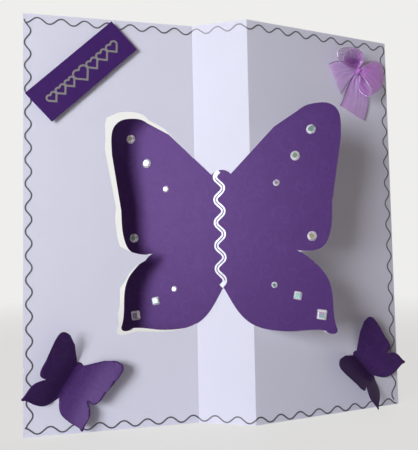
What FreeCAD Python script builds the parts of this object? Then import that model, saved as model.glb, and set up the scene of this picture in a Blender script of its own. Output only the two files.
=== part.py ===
import FreeCAD, Part
import math
import os

from FreeCAD import Vector

# A greeting card cut from one square sheet. Two upright folds make a left panel, a
# narrow middle strip and a right panel. A butterfly is cut free of both outer panels
# but not of the strip, so it stays flat in the strip's plane when the card stands in
# a zigzag: its left wing lies behind the hole in the left panel and its right wing
# in front of the hole in the right one. All lengths are in millimetres.

# Card sheet
sheet_height = 210.0
left_panel_width = 87.0
strip_width = 30.0
right_panel_width = 93.0
sheet_thickness = 0.3
left_fold_angle = 28.5       # degrees by which the left panel turns to the front
right_fold_angle = 39.6      # degrees by which the right panel turns to the back

# Large butterfly: the cut in the card, and the slightly larger paper glued to it
cut_half_span = 60.9
cut_height = 114.9           # from the tail tips to the top of the wings
paper_half_span = 62.0
paper_height = 115.8
paper_thickness = 0.2
wing_notch_reach = 38.4      # from the body's middle to the notch between the wings
body_base_drop = 35.2        # lower end of the body below the middle of the card
body_offset = -0.5           # body's middle from the strip's middle

# Silver line down the body: a wavy band with a slit along it
body_line_width = 2.3
body_line_slit = 0.5
body_line_swing = 2.05
body_line_offset = -1.2
body_line_quarters = 20      # quarter waves from the head to the lower end
body_line_top_gap = 0.6
body_line_foot_gap = 0.4

# Silver lines round the edge of the card
edge_line_width = 0.7
edge_line_swing = 1.5
line_thickness = 0.12
upright_wave_length = 12.015  # about, so that whole quarter waves fill each side edge
level_wave_length = 11.8     # and the top and the bottom
# For each line: inset of its middle from the card's edge at its start and at its
# end, gap before its start, gap after its end, and what it does as it starts. The
# upright lines start at the bottom, the level ones at the left.
left_line = (3.0, 2.1, 4.2, 2.9, "leaves outer crest")
right_line = (3.1, 2.4, 2.7, 1.6, "runs inwards")
bottom_line = (2.85, 1.9, 0.8, 1.5, "leaves inner crest")
top_line = (3.3, 3.6, 1.1, 3.3, "leaves inner crest")

# Stones on the wings
stone_height_share = 0.32    # height of a stone as a share of its width
large_round_stone = 5.0
small_round_stone = 3.5
least_round_stone = 3.2
large_square_stone = 5.0
small_square_stone = 4.1

# Tag in the upper left corner, raised on two foam pads
tag_length = 58.6
tag_width = 19.0
tag_angle = 42.9             # degrees from level
tag_inset = 28.9             # middle of the tag from the card's left edge
tag_drop = 28.6              # and from its top edge
tag_thickness = 0.3
pad_length = 12.0
pad_width = 10.0
pad_thickness = 2.0
pad_spread = 34.0            # between the middles of the two pads
motif_line_width = 1.0
motif_heart_sizes = (6.6, 6.6, 6.6, 9.4, 7.4, 7.4, 7.4)
motif_lap = 0.6              # how far each heart's line runs into the next one's

# Small butterflies in the lower corners, folded on both sides of a glued spine
small_half_span = 20.5
small_wing_height = 36.9
small_notch_reach = 13.9
spine_width = 1.2
left_small_inset = 16.9      # lower end of its body from the card's side edge
left_small_height = 17.8
left_small_tilt = 32.6       # degrees the head leans to the right
left_small_folds = (34.1, 20.8)
right_small_inset = 17.1
right_small_height = 17.5
right_small_tilt = -43.3
right_small_folds = (35.6, 19.4)

# Organza bow in the upper right corner
ribbon_width = 16.5
ribbon_thickness = 0.25
ribbon_gap = 0.3             # between the ribbon's free ends and the card
gathered_width = 3.6
ribbon_spread_share = 0.7    # share of a lobe's length in which the ribbon fans out
bow_inset = 24.3             # middle of the knot from the card's right edge
bow_drop = 20.7              # and from its top edge
knot_across = 4.6
knot_up = 5.2
knot_out = 5.0
knot_round = 1.7
# Length, bulge, ribbon's width in it, lean, tip up from the card, turn in its plane
bow_loops = [(13.6, 10.6, 11.0, 62, 33, 135), (14.8, 7.2, 16.5, -14, 22, -26)]
# Length, turn in the card's plane
bow_tails = [(15.8, 203), (25.0, -92)]

# Half of the butterfly's outline, drawn at the size of the large one. The first
# number is the distance from the body's middle, the second the height above the
# body's lower end. Straight edges have two points, curved ones more.
drawn_half_span = 62.0
drawn_height = 115.8
drawn_notch_reach = 38.4
drawn_body_top = 61.2
head_top = (0.0, drawn_body_top)
head_side = (2.9, 60.6)
neck = (5.2, 58.8)
wing_kink = (28.5, 82.0)
wing_shoulder = (41.0, 89.4)
wing_side = (61.8, 73.5)
wing_waist = (56.6, 42.0)
wing_notch = (38.4, 18.3)
tail_start = (56.9, -20.3)
tail_end = (51.4, -21.8)
body_foot = (0.0, 0.0)
half_outline = [
    [head_top, head_side, neck],
    [neck, wing_kink],
    [wing_kink, wing_shoulder],
    [wing_shoulder, (45.5, 91.8), (50.5, 92.5), (56.5, 91.8), (60.3, 88.8), (62.0, 83.0), wing_side],
    [wing_side, wing_waist],
    [wing_waist, (56.2, 33.0), (54.6, 25.0), (51.6, 19.9), (46.5, 17.9), wing_notch],
    [wing_notch, (43.6, 15.0), (48.4, 10.6), (52.6, 5.4), (54.9, -1.0), (55.5, -9.0), tail_start],
    [tail_start, (56.6, -22.9), (54.2, -23.3), tail_end],
    [tail_end, (45.5, -21.5), (36.0, -22.3), (28.4, -22.2), (20.5, -21.1), (15.2, -19.2), (10.3, -15.6),
     (6.2, -10.6), body_foot],
]

# The hole in the left panel, cut by hand from one straight snip to the next. Distance
# from the body's middle and height above the body's lower end, on the flat sheet. The
# first and last points lie past the fold.
left_hole = [
    (13.5, 66.8), (27.4, 80.7), (30.4, 83.9), (38.7, 88.1), (41.3, 90.6), (43.6, 91.5), (46.4, 92.0),
    (50.6, 92.1), (54.1, 91.6), (60.3, 88.5), (61.2, 84.9), (61.0, 77.4), (61.4, 71.8), (56.0, 42.0),
    (56.6, 36.1), (55.5, 26.5), (54.2, 21.9), (48.5, 18.9), (44.4, 17.8), (40.9, 17.4), (38.4, 18.0),
    (41.3, 14.5), (45.6, 12.0), (49.7, 8.1), (52.0, 3.9), (54.4, 0.7), (54.5, -7.6), (55.5, -12.3),
    (55.2, -18.2), (56.2, -20.7), (56.0, -21.9), (55.1, -22.8), (53.6, -23.2), (51.9, -22.9),
    (46.2, -21.5), (40.5, -22.0), (35.2, -22.4), (29.6, -22.3), (25.2, -21.9), (20.8, -21.0), (17.0, -19.8),
    (13.5, -18.1),
]

# Stones: name, cut, width, and place on the drawn outline
stones = [
    ("tip", "round", large_round_stone, (50.4, 81.1), (47.3, 79.2)),
    ("upper", "round", large_round_stone, (41.3, 67.1), (39.0, 66.2)),
    ("inner", "round", small_round_stone, (30.6, 52.6), (29.0, 52.9)),
    ("side", "round", large_round_stone, (49.1, 26.8), (46.3, 25.1)),
    ("lower_inner", "round", least_round_stone, (26.7, -0.8), (26.7, 0.9)),
    ("lower_middle", "square", small_square_stone, (37.2, -7.1), (38.3, -4.5)),
    ("tail", "square", large_square_stone, (48.7, -14.8), (49.9, -13.9)),
]

left_fold = left_panel_width
right_fold = left_panel_width + strip_width
sheet_width = right_fold + right_panel_width
body_across = left_panel_width + strip_width / 2 + body_offset
body_base_height = sheet_height / 2 - body_base_drop


def at(across, height, depth=0.0):
    """A point of the flat sheet: depth is out of its front face, towards the viewer."""
    return Vector(across, -depth, height)


def closed_face(edges):
    return Part.Face(Part.Wire(Part.__sortEdges__(edges)))


def slab(face, low, high):
    """The flat face as a sheet that fills the depths from low to high."""
    sheet = face.copy()
    sheet.translate(Vector(0, -low, 0))
    return sheet.extrude(Vector(0, low - high, 0))


def one_solid(shapes):
    """Shapes that touch face to face, joined and cleaned into one solid."""
    joined = shapes[0]
    if len(shapes) > 1:
        joined = shapes[0].multiFuse(shapes[1:])
    return joined.removeSplitter()


# Folding

class Folding:
    """Two upright folds in a flat sheet. Each has a place across the sheet and the
    angle by which the outer panel turns to the front. The part between them stays."""

    def __init__(self, left_line, left_turn, right_line, right_turn):
        self.lines = (left_line, right_line)
        self.turns = (left_turn, right_turn)

    def mitre(self, side, depth):
        """How far a fold's mitre leans at this depth, into the panel in the middle."""
        return depth * math.tan(math.radians(self.turns[side]) / 2)

    def panel(self, face, low, high, name):
        """The sheet's left, middle or right panel, cut along the mitres, still flat."""
        box = face.BoundBox
        ends = []
        for depth in (low, high):
            left = box.XMin - 1
            right = box.XMax + 1
            if name == "middle":
                left = self.lines[0] + self.mitre(0, depth)
                right = self.lines[1] - self.mitre(1, depth)
            if name == "left":
                right = self.lines[0] - self.mitre(0, depth)
            if name == "right":
                left = self.lines[1] + self.mitre(1, depth)
            ends.append((left, right, depth))
        (l0, r0, d0), (l1, r1, d1) = ends
        foot = box.ZMin - 1
        section = [at(l0, foot, d0), at(r0, foot, d0), at(r1, foot, d1), at(l1, foot, d1), at(l0, foot, d0)]
        wedge = Part.Face(Part.makePolygon(section)).extrude(Vector(0, 0, box.ZLength + 2))
        return slab(face, low, high).common(wedge)

    def turned(self, shape, name):
        """A flat shape of one panel, turned about its fold."""
        done = shape.copy()
        if name == "left":
            done.rotate(Vector(self.lines[0], 0, 0), Vector(0, 0, 1), self.turns[0])
        if name == "right":
            done.rotate(Vector(self.lines[1], 0, 0), Vector(0, 0, 1), -self.turns[1])
        return done

    def folded(self, face, low, high, names=("left", "middle", "right")):
        """The panels named, folded. Each is a list entry, and empty ones are left out."""
        panels = [self.turned(self.panel(face, low, high, name), name) for name in names]
        return [panel for panel in panels if panel.Volume > 1e-6]


card_panels = ("left", "middle", "right")
card_folding = Folding(left_fold, left_fold_angle, right_fold, -right_fold_angle)


# Flat outlines

def butterfly_face(half_span, height, notch_reach, across=0.0, foot=0.0):
    """The butterfly's flat shape, both wings, with the lower end of its body given."""
    wide = half_span / drawn_half_span
    tall = height / drawn_height
    notch_shift = notch_reach - drawn_notch_reach * wide

    def drawn(point, side):
        reach = point[0] * wide
        if point == wing_notch:
            reach += notch_shift
        return at(across + side * reach, foot + point[1] * tall)

    edges = []
    for side in (1, -1):
        for stretch in half_outline:
            points = [drawn(point, side) for point in stretch]
            if len(points) == 2:
                edges.append(Part.LineSegment(*points).toShape())
            elif len(points) == 3:
                edges.append(Part.Arc(*points).toShape())
            else:
                curve = Part.BSplineCurve()
                curve.interpolate(points)
                edges.append(curve.toShape())
    return closed_face(edges)


def rectangle_face(left, foot, width, height):
    corners = [at(left, foot), at(left + width, foot), at(left + width, foot + height), at(left, foot + height)]
    return Part.Face(Part.makePolygon(corners + corners[:1]))


def wave_face(width, quarter, swing, quarters, first_phase):
    """A wavy line along +X from x = 0, made of arcs joined by straight runs. It has
    this many quarter waves of this length. Phase 0 starts on a crest and 2 in a
    trough, 1 falls from the middle and 3 rises from it."""
    slope = math.atan(math.pi / 2 * swing / quarter)
    radius = (math.tan(slope) * quarter - swing) / (math.tan(slope) * math.sin(slope) - 1 + math.cos(slope))

    def side_edges(shift):
        """One long side of the line, at this distance above its middle."""
        edges = []
        for step in range(quarters):
            phase = (first_phase + step) % 4
            on_crest = phase in (0, 3)
            sign = 1 if on_crest else -1
            leaving = phase in (0, 2)
            turn_at = step * quarter if leaving else (step + 1) * quarter
            half_at = (step + 1) * quarter if leaving else step * quarter
            way = 1 if leaving else -1
            bend = radius + sign * shift
            middle = Vector(turn_at, 0, sign * (swing - radius))

            def on_arc(angle):
                return middle + Vector(way * bend * math.sin(angle), 0, sign * bend * math.cos(angle))

            half = Vector(half_at, 0, 0) + Vector(sign * way * math.sin(slope), 0, math.cos(slope)) * shift
            edges.append(Part.Arc(on_arc(0), on_arc(slope / 2), on_arc(slope)).toShape())
            edges.append(Part.LineSegment(on_arc(slope), half).toShape())
        return edges, end_point(shift, 0), end_point(shift, quarters)

    def end_point(shift, step):
        phase = (first_phase + step) % 4
        if phase in (0, 2):
            sign = 1 if phase == 0 else -1
            return Vector(step * quarter, 0, sign * swing + shift)
        lean = 1 if phase == 1 else -1
        return Vector(step * quarter, 0, 0) + Vector(lean * math.sin(slope), 0, math.cos(slope)) * shift

    upper, upper_start, upper_end = side_edges(width / 2)
    lower, lower_start, lower_end = side_edges(-width / 2)
    caps = [Part.LineSegment(upper_start, lower_start).toShape(), Part.LineSegment(upper_end, lower_end).toShape()]
    return closed_face(upper + lower + caps)


def heart_face(size):
    """A heart of this width, with its middle at the origin and its point down."""
    lobe = size * 0.29
    apart = size / 2 - lobe
    point_drop = size * 0.62
    reach = math.hypot(apart, point_drop)
    to_point = math.atan2(-point_drop, -apart)
    touch = to_point + math.acos(lobe / reach)
    low_touch = Vector(apart + lobe * math.cos(touch), 0, lobe * math.sin(touch))
    cleft = math.sqrt(lobe ** 2 - apart ** 2)
    edges = []
    for side in (1, -1):
        tip = Vector(0, 0, -point_drop)
        near = Vector(side * low_touch.x, 0, low_touch.z)
        top = Vector(side * (apart + lobe * math.sin(0.5)), 0, lobe * math.cos(0.5))
        edges.append(Part.LineSegment(tip, near).toShape())
        edges.append(Part.Arc(near, top, Vector(0, 0, cleft)).toShape())
    return closed_face(edges)


# Card and butterfly

def card_sheet():
    """The white sheet, folded, with the butterfly standing in the strip's plane."""
    whole = rectangle_face(0, 0, sheet_width, sheet_height)
    butterfly = large_butterfly(cut_half_span, cut_height)
    corners = [at(body_across - reach, body_base_height + height) for reach, height in left_hole]
    snipped = whole.cut(Part.Face(Part.makePolygon(corners + corners[:1]))).Faces[0]
    pierced = whole.cut(butterfly).Faces[0]
    panels = card_folding.folded(snipped, -sheet_thickness, 0, ("left",))
    panels += card_folding.folded(pierced, -sheet_thickness, 0, ("right",))
    strip = card_folding.folded(whole, -sheet_thickness, 0, ("middle",))
    tongue = slab(butterfly, -sheet_thickness, 0)
    return one_solid(strip + [tongue] + panels)


def large_butterfly(half_span, height):
    return butterfly_face(half_span, height, wing_notch_reach, body_across, body_base_height)


def butterfly_paper(card):
    """Embossed paper glued to the front of the large butterfly, clear of the folds."""
    return slab(large_butterfly(paper_half_span, paper_height), 0, paper_thickness).cut(card)


def body_line():
    """The wavy silver band from the head to the lower end of the body."""
    body_height = drawn_body_top * paper_height / drawn_height
    quarter = (body_height - body_line_top_gap - body_line_foot_gap) / body_line_quarters
    band = wave_face(body_line_width, quarter, body_line_swing, body_line_quarters, 1)
    slit = wave_face(body_line_slit, quarter, body_line_swing, body_line_quarters - 2, 2)
    slit.translate(Vector(quarter, 0, 0))
    line = band.cut(slit)
    line.rotate(Vector(0, 0, 0), Vector(0, 1, 0), 90)
    line.translate(at(body_across + body_line_offset, body_base_height + body_height - body_line_top_gap))
    return slab(line.Faces[0], paper_thickness, paper_thickness + line_thickness)


# Silver lines round the edge

def edge_line(side):
    """The wavy line along one edge of the card, in its flat place."""
    start_inset, end_inset, before, after, start = {
        "left": left_line, "right": right_line, "bottom": bottom_line, "top": top_line}[side]
    level = side in ("bottom", "top")
    run = (sheet_width if level else sheet_height) - before - after
    quarters = round(4 * run / (level_wave_length if level else upright_wave_length))
    # the outer edge is above the drawn line on the left and at the top, and below it elsewhere
    outer_above = side in ("left", "top")
    starts = ("leaves outer crest", "runs inwards", "leaves inner crest", "runs outwards")
    phase = starts.index(start) if outer_above else (starts.index(start) + 2) % len(starts)
    line = wave_face(edge_line_width, run / quarters, edge_line_swing, quarters, phase)
    inwards = -1 if outer_above else 1
    lean = math.degrees(math.atan2(inwards * (end_inset - start_inset), run))
    line.rotate(Vector(0, 0, 0), Vector(0, 1, 0), -lean)
    if level:
        line.translate(at(before, start_inset if side == "bottom" else sheet_height - start_inset))
    else:
        line.rotate(Vector(0, 0, 0), Vector(0, 1, 0), -90)
        line.translate(at(start_inset if side == "left" else sheet_width - start_inset, before))
    return line


def edge_lines():
    """The four lines. The level ones cross all three panels and stop at the upright
    ones, which lie on one panel each."""
    flat = {side: edge_line(side) for side in ("left", "right", "bottom", "top")}
    for side in ("bottom", "top"):
        pieces = flat[side].cut([flat["left"], flat["right"]]).Faces
        flat[side] = max(pieces, key=lambda face: face.Area)
    crossed = {"left": ("left",), "right": ("right",), "bottom": card_panels, "top": card_panels}
    return {side + "_edge_line": one_solid(card_folding.folded(face, 0, line_thickness, crossed[side]))
            for side, face in flat.items()}


# Stones

def stone_from_rings(rings, facets):
    """A closed solid from rings of points: facets gives the faces above the base."""
    faces = [Part.Face(Part.makePolygon([rings[r][i] for r, i in corners] + [rings[corners[0][0]][corners[0][1]]]))
             for corners in facets]
    faces.append(Part.Face(Part.makePolygon(rings[0] + rings[0][:1])))
    faces.append(Part.Face(Part.makePolygon(rings[-1] + rings[-1][:1])))
    return Part.makeSolid(Part.makeShell(faces))


def ring(radius, depth, count, first):
    """Points evenly round a circle at one depth; first is the angle of the first one."""
    return [at(radius * math.cos(math.radians(first + 360 * k / count)),
               radius * math.sin(math.radians(first + 360 * k / count)), depth) for k in range(count)]


def round_stone(width):
    """A flat-backed stone with eight main facets, eight star facets and a table."""
    radius = width / 2
    height = width * stone_height_share
    rings = [ring(radius, 0, 16, 0), ring(radius, height * 0.2, 16, 0), ring(radius * 0.8, height * 0.68, 8, 22.5),
             ring(radius * 0.56, height, 8, 0)]
    facets = [[(0, k), (0, (k + 1) % 16), (1, (k + 1) % 16), (1, k)] for k in range(16)]
    for k in range(8):
        before, after = (k - 1) % 8, (k + 1) % 8
        facets.append([(3, k), (3, after), (2, k)])
        facets.append([(3, k), (2, k), (1, 2 * k)])
        facets.append([(3, k), (2, before), (1, 2 * k)])
        facets.append([(2, k), (1, 2 * k), (1, 2 * k + 1)])
        facets.append([(2, k), (1, 2 * k + 1), (1, (2 * k + 2) % 16)])
    return stone_from_rings(rings, facets)


def square_stone(width):
    """A flat-backed square stone with clipped corners and two steps up to its table."""
    height = width * stone_height_share
    levels = [(0, 0), (0, height * 0.25), (0.1, height * 0.7), (0.22, height)]

    def clipped(inset, depth):
        half = width / 2 - inset * width
        clip = half * 0.24
        corners = [(half, half - clip), (half - clip, half), (clip - half, half), (-half, half - clip),
                   (-half, clip - half), (clip - half, -half), (half - clip, -half), (half, clip - half)]
        return [at(across, up, depth) for across, up in corners]

    rings = [clipped(inset, depth) for inset, depth in levels]
    facets = [[(r, k), (r, (k + 1) % 8), (r + 1, (k + 1) % 8), (r + 1, k)] for r in range(3) for k in range(8)]
    return stone_from_rings(rings, facets)


def wing_stones():
    """Seven stones on each wing, flat on the embossed paper."""
    wide = paper_half_span / drawn_half_span
    tall = paper_height / drawn_height
    made = {}
    for order, (name, cut, width, left_place, right_place) in enumerate(stones):
        for side, sign, place in (("left", -1, left_place), ("right", 1, right_place)):
            stone = round_stone(width) if cut == "round" else square_stone(width)
            stone.rotate(Vector(0, 0, 0), Vector(0, 1, 0), sign * (4 + 5 * order % 9))
            stone.translate(at(body_across + sign * place[0] * wide, body_base_height + place[1] * tall,
                               paper_thickness))
            made[side + "_" + name + "_stone"] = stone
    return made


# Tag

def on_tag(shape):
    """Moves a flat shape from the tag's own middle to its place on the left panel."""
    placed = shape.copy()
    placed.rotate(Vector(0, 0, 0), Vector(0, 1, 0), -tag_angle)
    placed.translate(at(tag_inset, sheet_height - tag_drop))
    return card_folding.turned(placed, "left")


def tag_parts():
    plate = rectangle_face(-tag_length / 2, -tag_width / 2, tag_length, tag_width)
    front = pad_thickness + tag_thickness
    made = {"tag_plate": on_tag(slab(plate, pad_thickness, front))}
    for name, side in (("left", -1), ("right", 1)):
        pad = rectangle_face(side * pad_spread / 2 - pad_length / 2, -pad_width / 2, pad_length, pad_width)
        made["tag_" + name + "_foam_pad"] = on_tag(slab(pad, 0, pad_thickness))
    whole_length = sum(motif_heart_sizes) - motif_lap * (len(motif_heart_sizes) - 1)
    start = -whole_length / 2
    hearts = []
    for size in motif_heart_sizes:
        outer = heart_face(size)
        inner = outer.makeOffset2D(-motif_line_width)
        heart = outer.cut(inner)
        heart.translate(at(start + size / 2, 0))
        hearts.append(slab(heart.Faces[0], front, front + line_thickness))
        start += size - motif_lap
    made["tag_heart_motif"] = on_tag(one_solid(hearts))
    return made


# Small butterflies

def small_butterfly(across, height, tilt, folds, panel):
    """A paper butterfly glued by its spine to one panel, with both wings lifted."""
    face = butterfly_face(small_half_span, small_wing_height, small_notch_reach)
    folding = Folding(-spine_width / 2, folds[0], spine_width / 2, folds[1])
    paper = one_solid(folding.folded(face, 0, paper_thickness))
    paper.rotate(Vector(0, 0, 0), Vector(0, 1, 0), tilt)
    paper.translate(at(across, height))
    return card_folding.turned(paper, panel)


# Bow

def on_bow(shape, lean, tilt, turn):
    """Turns a lobe made along +X: leant about its own length, tipped up from the card,
    then turned in the card's plane. All in degrees."""
    shape.rotate(Vector(0, 0, 0), Vector(1, 0, 0), lean)
    shape.rotate(Vector(0, 0, 0), Vector(0, 0, 1), -tilt)
    shape.rotate(Vector(0, 0, 0), Vector(0, 1, 0), -turn)
    return shape


def ribbon_taper(length, width):
    """The ribbon's spread outline seen face on, gathered at the knot."""
    spread_at = length * ribbon_spread_share
    corners = [(0, gathered_width / 2), (spread_at, width / 2), (length, width / 2)]
    points = [at(x, y) for x, y in corners] + [at(x, -y) for x, y in reversed(corners)]
    return Part.Face(Part.makePolygon(points + points[:1]))


def bow_loop(length, bulge, width, lean, tilt, turn):
    """A loop of ribbon that leaves the knot and comes back to it."""
    radius = bulge / 2
    centre = length - radius
    touch = math.acos(radius / centre)
    high = at(centre - radius * math.cos(touch), 0, radius * math.sin(touch))
    low = at(centre - radius * math.cos(touch), 0, -radius * math.sin(touch))
    knot_point = at(0, 0)
    outline = [Part.LineSegment(knot_point, high).toShape(), Part.LineSegment(knot_point, low).toShape(),
               Part.Arc(high, at(length, 0), low).toShape()]
    outer = closed_face(outline)
    band = outer.cut(outer.makeOffset2D(-ribbon_thickness))
    band.translate(at(0, -width / 2))
    loop = band.Faces[0].extrude(Vector(0, 0, width))
    return on_bow(loop.common(slab(ribbon_taper(length + 1, width), -bulge, bulge)), lean, tilt, turn)


def bow_tail(length, turn):
    """A free end of the ribbon that comes down from the knot to lie near the card."""
    slope = math.degrees(math.asin((knot_out / 2 - ribbon_gap - ribbon_thickness) / length))
    tail = slab(ribbon_taper(length, ribbon_width), 0, ribbon_thickness)
    return on_bow(tail, 0, -slope, turn)


def organza_bow():
    """Two loops and two ends of one ribbon, held in a knot that is glued down."""
    knot = Part.makeBox(knot_across, knot_out, knot_up, Vector(-knot_across / 2, -knot_out / 2, -knot_up / 2))
    knot = knot.makeFillet(knot_round, knot.Edges)
    parts = [knot]
    parts += [bow_loop(*values) for values in bow_loops]
    parts += [bow_tail(*values) for values in bow_tails]
    bow = one_solid(parts)
    bow.translate(at(sheet_width - bow_inset, sheet_height - bow_drop, knot_out / 2))
    return card_folding.turned(bow, "right")


def build():
    """Every piece by name. The origin is under the middle of the box round the whole."""
    made = {"card_sheet": card_sheet()}
    made["butterfly_paper"] = butterfly_paper(made["card_sheet"])
    made["body_silver_line"] = body_line()
    made.update(edge_lines())
    made.update(wing_stones())
    made.update(tag_parts())
    made["left_small_butterfly"] = small_butterfly(
        left_small_inset, left_small_height, left_small_tilt, left_small_folds, "left")
    made["right_small_butterfly"] = small_butterfly(
        sheet_width - right_small_inset, right_small_height, right_small_tilt, right_small_folds, "right")
    made["organza_bow"] = organza_bow()
    box = Part.makeCompound(list(made.values())).optimalBoundingBox(False)
    for shape in made.values():
        shape.translate(Vector(-box.Center.x, -box.Center.y, -box.ZMin))
    print("origin moved by", round(-box.Center.x, 3), round(-box.Center.y, 3), round(-box.ZMin, 3))
    print("size", round(box.XLength, 2), round(box.YLength, 2), round(box.ZLength, 2))
    return made


pieces = build()
os.makedirs("parts", exist_ok=True)
for name, shape in pieces.items():
    shape.exportStep("parts/" + name + ".step")
    print(name, "solids", len(shape.Solids), "faces", len(shape.Faces), "volume", round(shape.Volume, 3),
          "valid", shape.isValid())
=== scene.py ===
import math

import bpy
from mathutils import Matrix, Vector, noise
from mathutils.geometry import delaunay_2d_cdt


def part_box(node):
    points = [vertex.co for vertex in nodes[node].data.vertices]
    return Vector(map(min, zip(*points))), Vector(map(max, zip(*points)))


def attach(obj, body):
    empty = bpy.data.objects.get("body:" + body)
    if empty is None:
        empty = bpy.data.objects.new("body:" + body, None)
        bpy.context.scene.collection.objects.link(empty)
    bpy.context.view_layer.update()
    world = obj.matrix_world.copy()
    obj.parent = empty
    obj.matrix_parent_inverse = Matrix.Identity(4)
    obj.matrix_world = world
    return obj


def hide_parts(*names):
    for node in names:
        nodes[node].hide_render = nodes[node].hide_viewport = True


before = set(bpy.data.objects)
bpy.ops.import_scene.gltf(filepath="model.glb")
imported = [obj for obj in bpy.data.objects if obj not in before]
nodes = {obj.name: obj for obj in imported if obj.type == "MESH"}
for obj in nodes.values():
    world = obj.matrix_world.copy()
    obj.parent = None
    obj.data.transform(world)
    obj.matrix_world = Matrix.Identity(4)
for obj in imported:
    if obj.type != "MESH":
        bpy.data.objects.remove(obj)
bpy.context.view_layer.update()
mm = 0.001
print("frame loaded:", len(nodes), "nodes")

# the folded card: panel sizes and turns as in the part, and its place read from the frame
paperLow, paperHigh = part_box("butterfly_paper")
card = {
    "leftPanel": 87 * mm,
    "stripWidth": 30 * mm,
    "rightPanel": 93 * mm,
    "leftTurn": math.radians(28.5),  # towards the front
    "rightTurn": math.radians(39.6),  # towards the back
    "bodyShift": 0.5 * mm,  # body's middle left of the strip's middle
    "paperThickness": 0.2 * mm,
}
frontY = paperHigh[1]  # front face of the middle strip
stripX = (paperLow[0] + paperHigh[0]) / 2 + card["bodyShift"]
leftFoldX = stripX - card["stripWidth"] / 2
rightFoldX = stripX + card["stripWidth"] / 2
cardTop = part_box("card_sheet")[1][2]


def panelFrame(side):
    # origin at the foot of the fold, then along the panel to the right, out of its front, and up
    foldX = leftFoldX if side == "left" else rightFoldX
    turn = card["leftTurn"] if side == "left" else card["rightTurn"]
    along = Vector((math.cos(turn), math.sin(turn), 0))
    out = Vector((math.sin(turn), -math.cos(turn), 0))
    return Vector((foldX, frontY, 0)), along, out, Vector((0, 0, 1))


# camera, solved from the card's corners and folds in the photograph
cameraSetup = {
    "place": (0.07037, -0.30001, 0.08370),
    "yaw": 0.2573,
    "pitch": 0.0607,
    "roll": 0.0195,
    "focalPixels": 583.12,
    "frameWidth": 418,
    "sensor": 36.0,
    "clip": 0.01,
}


def makeCamera(setup):
    data = bpy.data.cameras.new("camera")
    data.sensor_fit = "HORIZONTAL"
    data.sensor_width = setup["sensor"]
    data.lens = setup["focalPixels"] / setup["frameWidth"] * setup["sensor"]
    data.clip_start = setup["clip"]
    camera = bpy.data.objects.new("camera", data)
    bpy.context.scene.collection.objects.link(camera)
    turn = Matrix.Rotation(setup["yaw"], 3, "Z") @ Matrix.Rotation(setup["pitch"], 3, "X")
    turn = turn @ Matrix.Rotation(setup["roll"], 3, "Y")
    look = turn @ Matrix(((1, 0, 0), (0, 0, -1), (0, 1, 0)))  # camera looks along its own -Z
    camera.matrix_world = Matrix.Translation(setup["place"]) @ look.to_4x4()
    bpy.context.scene.camera = camera


makeCamera(cameraSetup)
print("camera placed")


# small helpers for node trees
def addNode(tree, kind, **values):
    node = tree.nodes.new(kind)
    for name, value in values.items():
        setattr(node, name, value)
    return node


def join(tree, source, target):
    tree.links.new(source, target)


def math2(tree, operation, first, second=None, clamp=False):
    node = addNode(tree, "ShaderNodeMath", operation=operation, use_clamp=clamp)
    for socket, value in zip(node.inputs, (first, second)):
        if value is None:
            continue
        if isinstance(value, (int, float)):
            socket.default_value = value
        else:
            join(tree, value, socket)
    return node.outputs[0]


def newGroup(name, inputs, outputs):
    group = bpy.data.node_groups.new(name, "ShaderNodeTree")
    for socketName, kind, default in inputs:
        socket = group.interface.new_socket(socketName, in_out="INPUT", socket_type=kind)
        if default is not None:
            socket.default_value = default
    for socketName, kind in outputs:
        group.interface.new_socket(socketName, in_out="OUTPUT", socket_type=kind)
    return group, addNode(group, "NodeGroupInput"), addNode(group, "NodeGroupOutput")


def placeGroup(tree, group, values, vector):
    node = addNode(tree, "ShaderNodeGroup", node_tree=group)
    for name, value in values.items():
        node.inputs[name].default_value = value
    join(tree, vector, node.inputs["Vector"])
    return node


def newMaterial(name):
    material = bpy.data.materials.new(name)
    material.use_nodes = True
    tree = material.node_tree
    tree.nodes.clear()
    shader = addNode(tree, "ShaderNodeBsdfPrincipled")
    output = addNode(tree, "ShaderNodeOutputMaterial")
    join(tree, shader.outputs[0], output.inputs["Surface"])
    return material, tree, shader


def objectVector(tree):
    return addNode(tree, "ShaderNodeTexCoord").outputs["Object"]


def bumpFrom(tree, height, strength, distance):
    bump = addNode(tree, "ShaderNodeBump")
    bump.inputs["Strength"].default_value = strength
    bump.inputs["Distance"].default_value = distance
    join(tree, height, bump.inputs["Height"])
    return bump.outputs["Normal"]


def blendColour(tree, mask, colourA, colourB):
    mix = addNode(tree, "ShaderNodeMix", data_type="RGBA")
    for socket, value in ((mix.inputs["A"], colourA), (mix.inputs["B"], colourB)):
        if isinstance(value, tuple):
            socket.default_value = (*value, 1)
        else:
            join(tree, value, socket)
    join(tree, mask, mix.inputs["Factor"])
    return mix.outputs["Result"]


def mapRange(tree, value, low=0.0, high=1.0, toLow=0.0, toHigh=1.0, smooth=True):
    node = addNode(tree, "ShaderNodeMapRange", interpolation_type="SMOOTHSTEP" if smooth else "LINEAR")
    for name, number in (("From Min", low), ("From Max", high), ("To Min", toLow), ("To Max", toHigh)):
        node.inputs[name].default_value = number
    join(tree, value, node.inputs["Value"])
    return node.outputs[0]


def noiseField(tree, vector, scale, detail=2.0):
    field = addNode(tree, "ShaderNodeTexNoise")
    field.inputs["Scale"].default_value = scale
    field.inputs["Detail"].default_value = detail
    join(tree, vector, field.inputs["Vector"])
    return field


def split(tree, vector):
    parts = addNode(tree, "ShaderNodeSeparateXYZ")
    join(tree, vector, parts.inputs[0])
    return parts.outputs


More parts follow.
